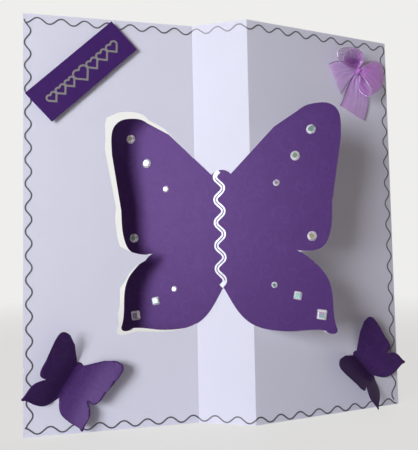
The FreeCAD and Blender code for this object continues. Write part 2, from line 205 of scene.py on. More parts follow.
# paper fibre: fine felt-like height and a slow mottle, for the card, the tag and both purple papers
def makeFibreGroup():
    group, start, end = newGroup(
        "paperFibre",
        [("Vector", "NodeSocketVector", None), ("Grain", "NodeSocketFloat", 2600.0),
         ("Mottle", "NodeSocketFloat", 60.0)],
        [("Height", "NodeSocketFloat"), ("Mottle", "NodeSocketFloat")],
    )
    fine = addNode(group, "ShaderNodeTexNoise")
    fine.inputs["Detail"].default_value = 3
    fine.inputs["Roughness"].default_value = 0.65
    slow = addNode(group, "ShaderNodeTexNoise")
    slow.inputs["Detail"].default_value = 2
    join(group, start.outputs["Vector"], fine.inputs["Vector"])
    join(group, start.outputs["Grain"], fine.inputs["Scale"])
    join(group, start.outputs["Vector"], slow.inputs["Vector"])
    join(group, start.outputs["Mottle"], slow.inputs["Scale"])
    join(group, fine.outputs[0], end.inputs["Height"])
    join(group, slow.outputs[0], end.inputs["Mottle"])
    return group


# embossed scrolls: one spiral in each cell of a loose pattern, turning either way
scrollShape = {
    "wander": 1.3, "drift": 0.5, "loose": 0.75, "opening": 0.8,
    "line": (0.45, 0.95),  # of the wave, from the spiral's foot to its ridge
    "fade": (0.62, 0.4),  # distance from the cell's middle, from nothing to full height
}


def makeScrollGroup(setup):
    group, start, end = newGroup(
        "embossedScroll",
        [("Vector", "NodeSocketVector", None), ("Cells", "NodeSocketFloat", 62.0),
         ("Turns", "NodeSocketFloat", 3.0)],
        [("Height", "NodeSocketFloat")],
    )
    scaled = addNode(group, "ShaderNodeVectorMath", operation="SCALE")
    join(group, start.outputs["Vector"], scaled.inputs[0])
    join(group, start.outputs["Cells"], scaled.inputs["Scale"])
    wander = noiseField(group, scaled.outputs[0], setup["wander"])
    drift = addNode(group, "ShaderNodeVectorMath", operation="MULTIPLY_ADD")
    drift.inputs[1].default_value = (setup["drift"], setup["drift"], 0)
    join(group, wander.outputs["Color"], drift.inputs[0])
    join(group, scaled.outputs[0], drift.inputs[2])
    cell = addNode(group, "ShaderNodeTexVoronoi", voronoi_dimensions="2D")
    cell.inputs["Scale"].default_value = 1
    cell.inputs["Randomness"].default_value = setup["loose"]
    join(group, drift.outputs[0], cell.inputs["Vector"])
    fromCentre = addNode(group, "ShaderNodeVectorMath", operation="SUBTRACT")
    join(group, drift.outputs[0], fromCentre.inputs[0])
    join(group, cell.outputs["Position"], fromCentre.inputs[1])
    parts = split(group, fromCentre.outputs[0])
    chance = addNode(group, "ShaderNodeSeparateColor")
    join(group, cell.outputs["Color"], chance.inputs[0])
    angle = math2(group, "ARCTAN2", parts[1], parts[0])
    toss = math2(group, "GREATER_THAN", chance.outputs[0], 0.5)
    way = math2(group, "SUBTRACT", math2(group, "MULTIPLY", toss, 2.0), 1.0)  # -1 or 1
    growth = math2(group, "POWER", cell.outputs["Distance"], setup["opening"])
    wound = math2(group, "MULTIPLY", growth, start.outputs["Turns"])
    wound = math2(group, "MULTIPLY", math2(group, "MULTIPLY", wound, way), 2 * math.pi)
    phase = math2(group, "MULTIPLY", chance.outputs[1], 2 * math.pi)
    wave = math2(group, "SINE", math2(group, "ADD", math2(group, "ADD", angle, wound), phase))
    line = mapRange(group, wave, *setup["line"])
    fade = mapRange(group, cell.outputs["Distance"], *setup["fade"])
    join(group, math2(group, "MULTIPLY", line, fade), end.inputs["Height"])
    return group


fibreGroup = makeFibreGroup()
scrollGroup = makeScrollGroup(scrollShape)

finish = {
    "card": {"pale": (0.8, 0.805, 0.91), "dull": (0.775, 0.78, 0.885), "roughness": 0.62, "gloss": 0.35,
             "creaseReach": 0.75 * mm, "felt": 0.25},
    # pearl papers: the lighter colour comes from random mottle and, as a painted highlight, along the pressed
    # scrolls and lines
    "pearl": {"deep": (0.052, 0.019, 0.112), "raised": (0.082, 0.032, 0.162), "roughness": 0.38,
              "gloss": 0.25, "sheenTint": (0.72, 0.45, 1.0), "scrollHighlight": 0.3, "mottle": 0.6, "fleck": 0.35,
              "veins": 75.0, "veinDepth": 0.8},
    # painted shade: the small butterflies' paper is the large butterfly's paper made about 0.85 times as dark,
    # so their wings turned from the key come out darker
    "pearlSmallShaded": {"deep": (0.044, 0.016, 0.094), "raised": (0.07, 0.027, 0.138), "roughness": 0.38,
                   "gloss": 0.2, "sheenTint": (0.74, 0.5, 1.0), "scrollHighlight": 0.45, "mottle": 0.7, "fleck": 0.4,
                   "veins": 130.0, "veinDepth": 1.0},
    "tag": {"deep": (0.05, 0.014, 0.125), "lit": (0.066, 0.02, 0.155), "roughness": 0.5, "gloss": 0.15},
    # painted shade: the edge lines use the same silver film as the body line, made darker to stand in for a
    # dark room mirrored in them
    "edgeFoilDarkened": {"colour": (0.17, 0.17, 0.185), "roughness": 0.4},
    "bodyFoil": {"colour": (0.27, 0.27, 0.285), "roughness": 0.42},
    "motif": {"colour": (0.52, 0.5, 0.53), "roughness": 0.28},
    "foam": {"colour": (0.85, 0.85, 0.82), "roughness": 0.9},
    # stones: the bright and dim facet colours are painted glints and painted dark reflections
    "stone": {"table": 0.75, "bezel": 0.15, "paintedGlint": (1.0, 0.98, 1.0), "paintedDarkFacet": (0.45, 0.45, 0.5),
              "roughness": 0.06, "coatRoughness": 0.02,
              "snap": 0.08, "cells": 75.0, "glintShare": (0.1, 0.35), "flat": (-0.94, -0.98),
              "tints": [(0.0, (0.26, 0.52, 0.47)), (0.3, (0.38, 0.36, 0.6)), (0.48, (0.62, 0.55, 0.36)),
                        (0.62, (0.5, 0.36, 0.56)), (0.8, (0.36, 0.52, 0.4))]},
    "organza": {"sheerColour": (0.69, 0.21, 0.82), "thread": (0.8, 0.44, 0.9), "roughness": 0.33,
                "pitch": 0.32 * mm, "cover": 0.16, "clouds": 260.0, "threadShow": 0.35},
    # painted light: one cord in two colours, pale on the loops as a painted highlight and dark on the ends as
    # painted shade
    "loopCordLit": {"colour": (0.74, 0.6, 0.82), "roughness": 0.22, "metallic": 0.6},
    "endCordShaded": {"colour": (0.26, 0.15, 0.32), "roughness": 0.22, "metallic": 0.5},
}


def cardMaterial(setup):
    # smooth white card with a fine felt, pressed along its two folds
    material, tree, shader = newMaterial("whiteCard")
    vector = objectVector(tree)
    fibre = placeGroup(tree, fibreGroup, {"Grain": 1900.0, "Mottle": 45.0}, vector)
    nearFolds = []
    for foldX in (leftFoldX, rightFoldX):
        off = math2(tree, "ABSOLUTE", math2(tree, "SUBTRACT", split(tree, vector)[0], foldX))
        nearFolds.append(mapRange(tree, off, setup["creaseReach"], 0.0))
    creases = math2(tree, "ADD", nearFolds[0], nearFolds[1], True)
    height = math2(tree, "SUBTRACT", math2(tree, "MULTIPLY", fibre.outputs["Height"], setup["felt"]), creases)
    join(tree, bumpFrom(tree, height, 0.35, 0.05 * mm), shader.inputs["Normal"])
    colour = blendColour(tree, fibre.outputs["Mottle"], setup["dull"], setup["pale"])
    join(tree, colour, shader.inputs["Base Color"])
    shader.inputs["Roughness"].default_value = setup["roughness"]
    shader.inputs["Specular IOR Level"].default_value = setup["gloss"]
    return material


def pearlMaterial(setup, name, useUv):
    # purple paper with a mica coat, faint pressed scrolls and long wandering lines between them; the scrolls
    # and lines are also coloured lighter, a painted highlight on the pressed relief, over the paper's own
    # random mottle
    material, tree, shader = newMaterial(name)
    if useUv:
        vector = addNode(tree, "ShaderNodeUVMap").outputs[0]
    else:
        parts = split(tree, objectVector(tree))
        flat = addNode(tree, "ShaderNodeCombineXYZ")
        join(tree, parts[0], flat.inputs[0])
        join(tree, parts[2], flat.inputs[1])
        vector = flat.outputs[0]
    fibre = placeGroup(tree, fibreGroup, {"Grain": 1700.0, "Mottle": 120.0}, vector)
    scroll = placeGroup(tree, scrollGroup, {"Cells": 92.0, "Turns": 2.4}, vector)
    small = placeGroup(tree, scrollGroup, {"Cells": 205.0, "Turns": 1.8}, vector)
    both = math2(tree, "MAXIMUM", scroll.outputs[0], math2(tree, "MULTIPLY", small.outputs[0], 0.5))
    vein = noiseField(tree, vector, setup["veins"], 1.0)
    fromVein = math2(tree, "ABSOLUTE", math2(tree, "SUBTRACT", vein.outputs[0], 0.5))
    veinLine = mapRange(tree, fromVein, 0.022, 0.0)  # thin lines where the noise crosses its middle
    both = math2(tree, "MAXIMUM", both, math2(tree, "MULTIPLY", veinLine, setup["veinDepth"]))
    height = math2(tree, "ADD", both, math2(tree, "MULTIPLY", fibre.outputs["Height"], 0.6))
    join(tree, bumpFrom(tree, height, 0.3, 0.05 * mm), shader.inputs["Normal"])
    # painted highlight: the pressed scrolls and lines pull the colour lighter; the mottle and fleck below are
    # the paper's own uneven tone
    toneAndHighlight = math2(tree, "MULTIPLY", both, setup["scrollHighlight"])
    toneAndHighlight = math2(tree, "ADD", toneAndHighlight, math2(tree, "MULTIPLY", fibre.outputs["Mottle"], setup["mottle"]))
    toneAndHighlight = math2(tree, "ADD", toneAndHighlight, math2(tree, "MULTIPLY", fibre.outputs["Height"], setup["fleck"]))
    join(tree, blendColour(tree, toneAndHighlight, setup["deep"], setup["raised"]), shader.inputs["Base Color"])
    shader.inputs["Roughness"].default_value = setup["roughness"]
    shader.inputs["Specular IOR Level"].default_value = setup["gloss"]
    shader.inputs["Specular Tint"].default_value = (*setup["sheenTint"], 1)
    return material


def tagMaterial(setup):
    material, tree, shader = newMaterial("violetTagCard")
    fibre = placeGroup(tree, fibreGroup, {"Grain": 3200.0, "Mottle": 160.0}, objectVector(tree))
    join(tree, bumpFrom(tree, fibre.outputs["Height"], 0.4, 0.03 * mm), shader.inputs["Normal"])
    colour = blendColour(tree, fibre.outputs["Mottle"], setup["deep"], setup["lit"])
    join(tree, colour, shader.inputs["Base Color"])
    shader.inputs["Roughness"].default_value = setup["roughness"]
    shader.inputs["Specular IOR Level"].default_value = setup["gloss"]
    return material


def foilMaterial(setup, name):
    # metallised sticker film, very slightly rippled
    material, tree, shader = newMaterial(name)
    ripple = noiseField(tree, objectVector(tree), 420)
    join(tree, bumpFrom(tree, ripple.outputs[0], 0.2, 0.05 * mm), shader.inputs["Normal"])
    smoothest, roughest = setup["roughness"] * 0.75, setup["roughness"] * 1.25
    rough = mapRange(tree, ripple.outputs[0], toLow=smoothest, toHigh=roughest, smooth=False)
    join(tree, rough, shader.inputs["Roughness"])
    shader.inputs["Base Color"].default_value = (*setup["colour"], 1)
    shader.inputs["Metallic"].default_value = 1
    return material


def foamMaterial(setup):
    material, tree, shader = newMaterial("padFoam")
    cells = addNode(tree, "ShaderNodeTexVoronoi")
    cells.inputs["Scale"].default_value = 2600
    join(tree, objectVector(tree), cells.inputs["Vector"])
    join(tree, bumpFrom(tree, cells.outputs["Distance"], 0.8, 0.12 * mm), shader.inputs["Normal"])
    shader.inputs["Base Color"].default_value = (*setup["colour"], 1)
    shader.inputs["Roughness"].default_value = setup["roughness"]
    return material


def stoneMaterial(setup):
    # cut stone on a mirror back: the flat table shows a tint, the slanted facets are coloured light or dark at
    # random, painted glints and painted dark reflections
    material, tree, shader = newMaterial("cutStone")
    surface = addNode(tree, "ShaderNodeNewGeometry")
    snapped = addNode(tree, "ShaderNodeVectorMath", operation="SNAP")
    snapped.inputs[1].default_value = [setup["snap"]] * 3
    join(tree, surface.outputs["True Normal"], snapped.inputs[0])
    cell = addNode(tree, "ShaderNodeTexVoronoi")
    cell.inputs["Scale"].default_value = setup["cells"]  # one cell or so for each stone
    join(tree, objectVector(tree), cell.inputs["Vector"])
    lot = addNode(tree, "ShaderNodeVectorMath", operation="ADD")
    join(tree, snapped.outputs[0], lot.inputs[0])
    join(tree, cell.outputs["Color"], lot.inputs[1])
    chance = addNode(tree, "ShaderNodeTexWhiteNoise", noise_dimensions="3D")
    join(tree, lot.outputs[0], chance.inputs["Vector"])
    # painted glints: each slanted facet is given a bright or a dim colour by chance
    glintShare = mapRange(tree, chance.outputs["Value"], *setup["glintShare"])
    facetGlints = blendColour(tree, glintShare, setup["paintedDarkFacet"], setup["paintedGlint"])
    tints = addNode(tree, "ShaderNodeValToRGB")
    ramp = tints.color_ramp
    ramp.interpolation = "CONSTANT"
    while len(ramp.elements) < len(setup["tints"]):
        ramp.elements.new(0.5)
    for stop, (place, colour) in zip(ramp.elements, setup["tints"]):
        stop.position = place
        stop.color = (*colour, 1)
    hue = addNode(tree, "ShaderNodeSeparateColor")
    join(tree, cell.outputs["Color"], hue.inputs[0])
    join(tree, hue.outputs[0], tints.inputs[0])
    facing = split(tree, surface.outputs["True Normal"])[1]
    table = mapRange(tree, facing, *setup["flat"], smooth=False)
    join(tree, blendColour(tree, table, facetGlints, tints.outputs[0]), shader.inputs["Base Color"])
    mirror = mapRange(tree, table, toLow=setup["bezel"], toHigh=setup["table"], smooth=False)
    join(tree, mirror, shader.inputs["Metallic"])
    shader.inputs["Roughness"].default_value = setup["roughness"]
    shader.inputs["Coat Weight"].default_value = 1
    shader.inputs["Coat Roughness"].default_value = setup["coatRoughness"]
    return material


ribbon = {
    "width": 16.5 * mm,
    "knotInset": 24.3 * mm,  # from the card's right edge
    "knotDrop": 20.7 * mm,  # from its top edge
    "cord": 0.21 * mm,  # radius of the selvedge cord
    "cordSides": 8,
    "twist": (0.8 * mm, 1.7 * mm),  # pitch of the cord's strands, along it and round it
    "deepest": 0.85 * mm,  # of the gathers
    "rimDepth": 0.95 * mm,  # of those along the far edge of the upper and inner loops
    "sheer": {"loop": 0.42, "end": 0.34, "knot": 0.62},  # share of light that the cloth stops, about
}


def organzaMaterial(setup, name, sheer):
    # sheer weave: fine threads both ways, paler than the gauze between them
    material, tree, shader = newMaterial(name)
    uv = addNode(tree, "ShaderNodeUVMap")
    threads = []
    for place in split(tree, uv.outputs[0])[:2]:
        swing = math2(tree, "SINE", math2(tree, "MULTIPLY", place, 2 * math.pi / setup["pitch"]))
        threads.append(math2(tree, "MULTIPLY", math2(tree, "ADD", swing, 1.0), 0.5))
    weave = math2(tree, "MAXIMUM", threads[0], threads[1])
    cloud = noiseField(tree, uv.outputs[0], setup["clouds"])
    cover = math2(tree, "ADD", math2(tree, "MULTIPLY", weave, setup["cover"]), sheer - setup["cover"])
    cover = math2(tree, "ADD", cover, math2(tree, "MULTIPLY", cloud.outputs[0], setup["cover"]), True)
    join(tree, cover, shader.inputs["Alpha"])
    shown = math2(tree, "MULTIPLY", weave, setup["threadShow"])
    join(tree, blendColour(tree, shown, setup["sheerColour"], setup["thread"]), shader.inputs["Base Color"])
    join(tree, bumpFrom(tree, weave, 0.3, 0.04 * mm), shader.inputs["Normal"])
    shader.inputs["Roughness"].default_value = setup["roughness"]
    shader.inputs["Sheen Weight"].default_value = 0.4
    shader.inputs["Sheen Roughness"].default_value = 0.35
    return material


def selvedgeMaterial(setup, name):
    # shiny cord woven into both edges of the ribbon, twisted; its colour is given per use, a painted highlight
    # on the loops and painted shade on the ends
    material, tree, shader = newMaterial(name)
    uv = addNode(tree, "ShaderNodeUVMap")
    parts = split(tree, uv.outputs[0])
    slant = math2(tree, "ADD", math2(tree, "MULTIPLY", parts[0], 2 * math.pi / ribbon["twist"][0]),
                  math2(tree, "MULTIPLY", parts[1], 2 * math.pi / ribbon["twist"][1]))
    twist = math2(tree, "SINE", slant)
    join(tree, bumpFrom(tree, twist, 0.25, 0.05 * mm), shader.inputs["Normal"])
    shader.inputs["Base Color"].default_value = (*setup["colour"], 1)
    shader.inputs["Roughness"].default_value = setup["roughness"]
    shader.inputs["Metallic"].default_value = setup["metallic"]
    return material


whiteCard = cardMaterial(finish["card"])
pearlPaper = pearlMaterial(finish["pearl"], "pearlPaper", False)
# painted shade: a darker copy of the purple paper for the small butterflies
pearlPaperSmallShaded = pearlMaterial(finish["pearlSmallShaded"], "pearlPaperSmallShaded", True)
violetTag = tagMaterial(finish["tag"])
# painted shade: darker copy of the silver film for the edge lines
edgeFilmDarkened = foilMaterial(finish["edgeFoilDarkened"], "silverEdgeFilmDarkened")
bodyFilm = foilMaterial(finish["bodyFoil"], "silverBodyFilm")
motifFilm = foilMaterial(finish["motif"], "motifFilm")
padFoam = foamMaterial(finish["foam"])
cutStone = stoneMaterial(finish["stone"])
organzaLoop = organzaMaterial(finish["organza"], "organzaLoop", ribbon["sheer"]["loop"])
organzaEnd = organzaMaterial(finish["organza"], "organzaEnd", ribbon["sheer"]["end"])
organzaKnot = organzaMaterial(finish["organza"], "organzaKnot", ribbon["sheer"]["knot"])
# lit and shaded copies of the same cord: painted highlight on the loops, painted shade on the ends
loopCordLit = selvedgeMaterial(finish["loopCordLit"], "loopSelvedgeLit")
endCordShaded = selvedgeMaterial(finish["endCordShaded"], "endSelvedgeShaded")
print("materials made")


def dress(node, material):
    data = nodes[node].data
    data.materials.clear()
    data.materials.append(material)


dress("card_sheet", whiteCard)
dress("butterfly_paper", pearlPaper)
dress("tag_plate", violetTag)
dress("tag_heart_motif", motifFilm)
dress("body_silver_line", bodyFilm)
for nodeName in nodes:
    if nodeName.endswith("_edge_line"):
        dress(nodeName, edgeFilmDarkened)
    if nodeName.endswith("_foam_pad"):
        dress(nodeName, padFoam)
    if nodeName.endswith("_stone"):
        dress(nodeName, cutStone)
print("frame dressed")


def addPiece(name, verts, faces, material, uvs):
    data = bpy.data.meshes.new(name)
    data.from_pydata([tuple(v) for v in verts], [], faces)
    layer = data.uv_layers.new(name="flat")
    for loop in data.loops:
        layer.data[loop.index].uv = uvs[loop.vertex_index]
    for face in data.polygons:
        face.use_smooth = True
    data.materials.append(material)
    data.update()
    piece = bpy.data.objects.new(name, data)
    bpy.context.scene.collection.objects.link(piece)
    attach(piece, "root")
    return piece


# small folded butterflies, from the large one's own outline
smallButterflies = {
    "left": {
        "node": "left_small_butterfly", "inset": 16.9 * mm, "height": 17.8 * mm, "lean": math.radians(32.6),
        "lift": (math.radians(34.1), math.radians(20.8)), "curl": (0.9 * mm, -1.3 * mm),
        "patternAt": 0.31,
    },
    "right": {
        "node": "right_small_butterfly", "inset": 17.1 * mm, "height": 17.5 * mm, "lean": math.radians(-43.3),
        "lift": (math.radians(35.6), math.radians(19.4)), "curl": (0.8 * mm, 1.2 * mm),
        "patternAt": 0.57,
    },
}
smallSize = {
    "halfSpan": 20.5 * mm, "height": 36.9 * mm, "spine": 1.2 * mm, "foldRound": 0.9 * mm, "grid": 1.1 * mm,
    "bodyReach": 0.6 * mm, "thinTo": 0.12 * mm, "gridClear": 0.35,
    "foldStep": 0.45 * mm, "foldClear": 0.2 * mm,
    "curlShare": 0.6, "curlPeak": 1.15, "tipShare": 0.5, "tipTurn": 4.2, "patternUp": 0.2,
}


def frontOutline(node):
    # the closed edge of the node's front face, in order, as (x, z)
    data = nodes[node].data
    steps = {}
    for face in data.polygons:
        if face.normal.y > -0.99:  # only faces that look forwards
            continue
        corners = []
        for index in face.vertices:
            spot = data.vertices[index].co
            corners.append((round(spot.x, 6), round(spot.z, 6)))
        for a, b in zip(corners, corners[1:] + corners[:1]):
            steps[(a, b)] = True
    rim = {a: b for (a, b) in steps if (b, a) not in steps}
    first = next(iter(rim))
    loop = [first]
    while rim[loop[-1]] != first:
        loop.append(rim[loop[-1]])
    return loop


def insideLoop(point, loop):
    inside = False
    for (x0, y0), (x1, y1) in zip(loop, loop[1:] + loop[:1]):
        if (y0 > point[1]) != (y1 > point[1]) and point[0] < (x1 - x0) * (point[1] - y0) / (y1 - y0) + x0:
            inside = not inside
    return inside


def toRim(point, loop):
    return min(math.dist(point, corner) for corner in loop)


def smallFlatMesh():
    # outline at the small size with the body's lower end at the origin, and a grid inside it
    big = frontOutline("butterfly_paper")
    middle = stripX - card["bodyShift"]
    low = min(z for x, z in big)
    high = max(z for x, z in big)
    foot = min(z for x, z in big if abs(x - middle) < smallSize["bodyReach"])
    wide = smallSize["halfSpan"] / (max(x for x, z in big) - middle)
    tall = smallSize["height"] / (high - low)
    loop = [((x - middle) * wide, (z - foot) * tall) for x, z in big]
    thinned = [loop[0]]
    for spot in loop[1:]:
        if math.dist(spot, thinned[-1]) > smallSize["thinTo"]:
            thinned.append(spot)
    points = [Vector(p) for p in thinned]
    edges = [(i, (i + 1) % len(points)) for i in range(len(points))]
    step = smallSize["grid"]
    for i in range(-20, 21):
        for j in range(-10, 32):
            spot = (i * step, j * step + 0.1 * mm)
            if insideLoop(spot, thinned) and toRim(spot, thinned) > smallSize["gridClear"] * step:
                points.append(Vector(spot))
    for x in (-smallSize["spine"] / 2, smallSize["spine"] / 2):
        for j in range(-10, 60):
            spot = (x, j * smallSize["foldStep"])
            if insideLoop(spot, thinned) and toRim(spot, thinned) > smallSize["foldClear"]:
                points.append(Vector(spot))
    verts, _, faces, _, _, _ = delaunay_2d_cdt(points, edges, [], 1, 1e-7)
    return verts, faces


smallFlat = smallFlatMesh()


def addSmallButterfly(side, setup):
    origin, along, out, up = panelFrame(side)
    if side == "left":
        edge = -card["leftPanel"] + setup["inset"]
    else:
        edge = card["rightPanel"] - setup["inset"]
    foot = origin + along * edge + up * setup["height"]
    axis = up * math.cos(setup["lean"]) + along * math.sin(setup["lean"])
    across = along * math.cos(setup["lean"]) - up * math.sin(setup["lean"])
    half = smallSize["spine"] / 2
    bend = smallSize["foldRound"]
    verts = []
    for spot in smallFlat[0]:
        wing = 0 if spot.x < 0 else 1
        sign = -1 if wing == 0 else 1
        reach = abs(spot.x)
        lift = setup["lift"][wing]
        flat = min(reach, half)
        past = max(reach - half, 0)
        turned = min(past / bend, 1.0)  # the fold is a short arc
        radius = bend / lift
        sideways = flat + radius * math.sin(lift * turned)
        rise = radius * (1 - math.cos(lift * turned))
        straight = max(past - bend, 0)
        sideways += straight * math.cos(lift)
        rise += straight * math.sin(lift)
        share = straight / smallSize["halfSpan"]
        curl = setup["curl"][wing] * math.sin(math.pi * min(share * smallSize["curlPeak"], 1))
        curl = curl * smallSize["curlShare"]
        tipTurn = math.sin(spot.y / smallSize["height"] * smallSize["tipTurn"])
        tipCurl = abs(setup["curl"][wing]) * smallSize["tipShare"] * share ** 2 * tipTurn
        depth = rise + card["paperThickness"] / 2 + (curl + tipCurl) * math.cos(lift)
        sideways -= curl * math.sin(lift)
        verts.append(foot + axis * spot.y + across * (sign * sideways) + out * depth)
    uvs = [(spot.x + setup["patternAt"], spot.y + smallSize["patternUp"]) for spot in smallFlat[0]]
    piece = addPiece(side + "_folded_butterfly", verts, smallFlat[1], pearlPaperSmallShaded, uvs)
    solid = piece.modifiers.new("paper", "SOLIDIFY")
    solid.thickness = card["paperThickness"]
    solid.offset = 0
    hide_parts(setup["node"])


for sideName, butterflySetup in smallButterflies.items():
    addSmallButterfly(sideName, butterflySetup)
print("small butterflies folded")


# organza bow: every lobe is laid between its ribbon's two edges, (across, up, out from the card) in mm from
# the knot's place on the card. "cut" is the flat ribbon's length in mm along its two edges, estimated from the
# longer drawn edge of a loop and from both of an end, which is cut on the slant. "rimGathers" counts the
# gathers along an edge that is drawn together, enough for the loop to hold its cloth.
bowParts = {
    "upper_loop": {
        "near": [(0.5, 1, 3.5), (-2, 0, 5), (-9, 0.5, 7), (-15.5, 2, 9), (-18, 4, 10), (-17.5, 7.5, 10.5),
                 (-12, 10, 10.5), (-4.5, 10.5, 10), (0, 8, 9.5), (1.5, 5.5, 8), (1, 3, 6), (0.5, 1.5, 4)],
        "far": [(1.5, 2, 2.5), (0.5, 2.5, 2.5), (-0.5, 3.5, 2), (-1.5, 4.5, 1.5), (-1.5, 6, 1.5),
                (-1, 7, 1.5), (0, 7, 1.5), (1, 7, 1.5), (1.5, 6, 1.5), (2, 5, 1.5), (2, 4, 2), (1.5, 3, 2.5)],
        "belly": (-0.4, 0.9, 0.0), "pleats": 4, "seed": 3,
        "steps": (300, 40), "cut": (53, 53), "rimGathers": 26,
    },
    "inner_loop": {
        "near": [(1.5, 2.5, 3), (-4, 2.5, 4), (-9.5, 3, 5.5), (-11.5, 5, 6.5), (-10.5, 7.5, 7), (-7, 10, 7),
                 (-3, 11, 7), (1, 10, 6.5), (2, 7.5, 6), (2, 4.5, 4.5), (1.5, 3, 3)],
        "far": [(1.5, 2.5, 2.5), (0.8, 3, 2.2), (0.4, 3.6, 1.9), (0.2, 4.2, 1.7), (0.3, 4.8, 1.6),
                (0.6, 5.2, 1.6), (0.9, 5.2, 1.6), (1.2, 4.8, 1.7), (1.3, 4.2, 1.9), (1.4, 3.6, 2.1),
                (1.5, 3, 2.3)],
        "belly": (0, 0.5, -0.8), "pleats": 4, "seed": 6,
        "steps": (320, 36), "cut": (39, 39), "rimGathers": 27,
    },
    "lower_loop": {
        "near": [(1, 0, 3.5), (0.5, -3, 7), (0.5, -5.5, 9), (1.5, -9.5, 11), (3.5, -12, 11), (5, -13.5, 9.5),
                 (5.5, -14.5, 7.5), (5, -14.5, 5.5), (3, -12.5, 4), (1.5, -10, 3), (2, -5.5, 3), (2, -1, 3)],
        "far": [(2, 1.5, 4), (3.5, 2.5, 6), (7, 4.5, 6.5), (12, 5.5, 6.5), (16, 6, 5.5), (18.5, 5, 4),
                (19, 6, 3), (17, 8, 2), (13.5, 8, 2), (10, 7.5, 2), (6.5, 6, 2.5), (3, 2.5, 3)],
        "belly": (3.8, -2.8, 0.4), "pleats": 4, "seed": 8,
        "steps": (96, 44), "cut": (40, 40), "rimGathers": 0,
    },
    "left_end": {
        "near": [(0, -0.5, 3), (-2, -3, 2.2), (-4, -5.5, 1.8), (-6.5, -8.5, 1.5), (-10, -13.5, 1.2)],
        "far": [(0, 0.5, 3.5), (-4.5, 2.5, 3), (-9, 4.5, 3), (-13, 4.5, 2.5), (-18, 2.5, 2)],
        "belly": (-1.2, 0.3, 0.8), "pleats": 5, "seed": 5,
        "steps": (48, 50), "cut": (20, 17), "rimGathers": 0,
    },
    "lower_end": {
        "near": [(-0.5, -0.5, 3.5), (-2, -3.5, 2), (-4.5, -8, 1.2), (-6.5, -12.5, 1), (-8.5, -17, 0.8),
                 (-10, -20, 0.6)],
        "far": [(1, -0.5, 3.5), (4.5, -3.5, 2), (8, -10.5, 1.2), (9.5, -15, 0.8), (9, -20, 0.7),
                (6.5, -27, 0.6)],
        "belly": (0, -0.8, 0.9), "pleats": 5, "seed": 11,
        "steps": (56, 50), "cut": (30, 22), "rimGathers": 0,
    },
}


def bowPoint(spot):
    # from the knot's place on the right panel, in mm, to the frame
    origin, along, out, up = panelFrame("right")
    across = card["rightPanel"] - ribbon["knotInset"] + spot[0] * mm
    return origin + along * across + up * (cardTop - ribbon["knotDrop"] + spot[1] * mm) + out * (spot[2] * mm)


def smoothThrough(points, share):
    # smooth curve through given points
    last = len(points) - 1
    place = min(max(share, 0), 0.99999) * last
    i = int(place)
    t = place - i
    before = Vector(points[max(i - 1, 0)])
    here = Vector(points[i])
    there = Vector(points[i + 1])
    after = Vector(points[min(i + 2, last)])
    bend = (2 * before - 5 * here + 4 * there - after) * t * t
    return 0.5 * (2 * here + (there - before) * t + bend + (3 * here - before - 3 * there + after) * t ** 3)


gathers = {
    "leastSlack": 1.02,  # ribbon over the width left for it
    "narrowest": 0.5,  # width in mm taken where the edges meet
    "tipLoss": 0.45,  # share of the depth lost at a lobe's tip
    "lean": (0.16, 2.6), "wander": 0.05,  # uneven spacing across the ribbon
    "uneven": (0.75, 0.5),  # depth: its mean share, and how far noise moves it
    "edgeLoss": 0.6,  # share of the depth lost at the ribbon's edges
    "soft": 0.45,  # slow waves in mm, towards the tip
    "rimSpacing": (0.8, 5),  # how far and how often the drawn edge's gathers shift
    "overCard": 0.45,  # lowest point of an end, in mm
}


def layRibbon(setup, isLoop):
    # grid of points: plain surface between the edges, then gathers along its normal
    rows, columns = setup["steps"]
    belly = Vector(setup["belly"])
    plain = []
    for i in range(rows + 1):
        share = i / rows
        near = smoothThrough(setup["near"], share)
        far = smoothThrough(setup["far"], share)
        swell = math.sin(math.pi * share) ** 2 if isLoop else math.sin(math.pi * share / 2) ** 2
        row = []
        for j in range(columns + 1):
            side = 2 * j / columns - 1
            row.append(near.lerp(far, j / columns) + belly * (swell * (1 - side * side)))
        plain.append(row)
    grid = []
    for i in range(rows + 1):
        share = i / rows
        outwards = 1 - abs(2 * share - 1) if isLoop else share
        wide = (plain[i][-1] - plain[i][0]).length
        slack = max(ribbon["width"] / mm / max(wide, gathers["narrowest"]), gathers["leastSlack"])
        deep = wide / (2 * math.pi * setup["pleats"]) * math.sqrt(2 * (slack * slack - 1))
        deep = min(deep, ribbon["deepest"] / mm) * (1 - gathers["tipLoss"] * outwards)
        row = []
        for j in range(columns + 1):
            side = 2 * j / columns - 1
            alongStep = plain[min(i + 1, rows)][j] - plain[max(i - 1, 0)][j]
            acrossStep = plain[i][min(j + 1, columns)] - plain[i][max(j - 1, 0)]
            normal = alongStep.cross(acrossStep).normalized()
            warped = side + gathers["lean"][0] * math.sin(gathers["lean"][1] * side + setup["seed"])
            warped += gathers["wander"] * noise.noise(Vector((side * 3, share * 5, setup["seed"])))
            wave = math.sin(math.pi * setup["pleats"] * warped + setup["seed"])
            rough = noise.noise(Vector((side * 2.3, share * 1.5, setup["seed"] + 7)))
            wave = wave * (gathers["uneven"][0] + gathers["uneven"][1] * rough)
            edgeHold = 1 - abs(side) ** 6 * gathers["edgeLoss"]
            slow = noise.noise(Vector((side * 1.2, share * 3.0, setup["seed"] + 3)))
            soft = gathers["soft"] * slow * outwards
            if setup["rimGathers"]:
                pulled = (j / columns) ** 0.6 * math.sin(math.pi * share) ** 0.5
                shift = gathers["rimSpacing"][0] * math.sin(gathers["rimSpacing"][1] * share + setup["seed"])
                drawn = math.sin(2 * math.pi * setup["rimGathers"] * share + shift)
                soft += ribbon["rimDepth"] / mm * pulled * drawn
            lifted = plain[i][j] + normal * (deep * wave * edgeHold + soft)
            if not isLoop:
                lifted.z = max(lifted.z, gathers["overCard"])  # ends lie on the card
            row.append(lifted)
        grid.append([bowPoint(spot) for spot in row])
    return grid


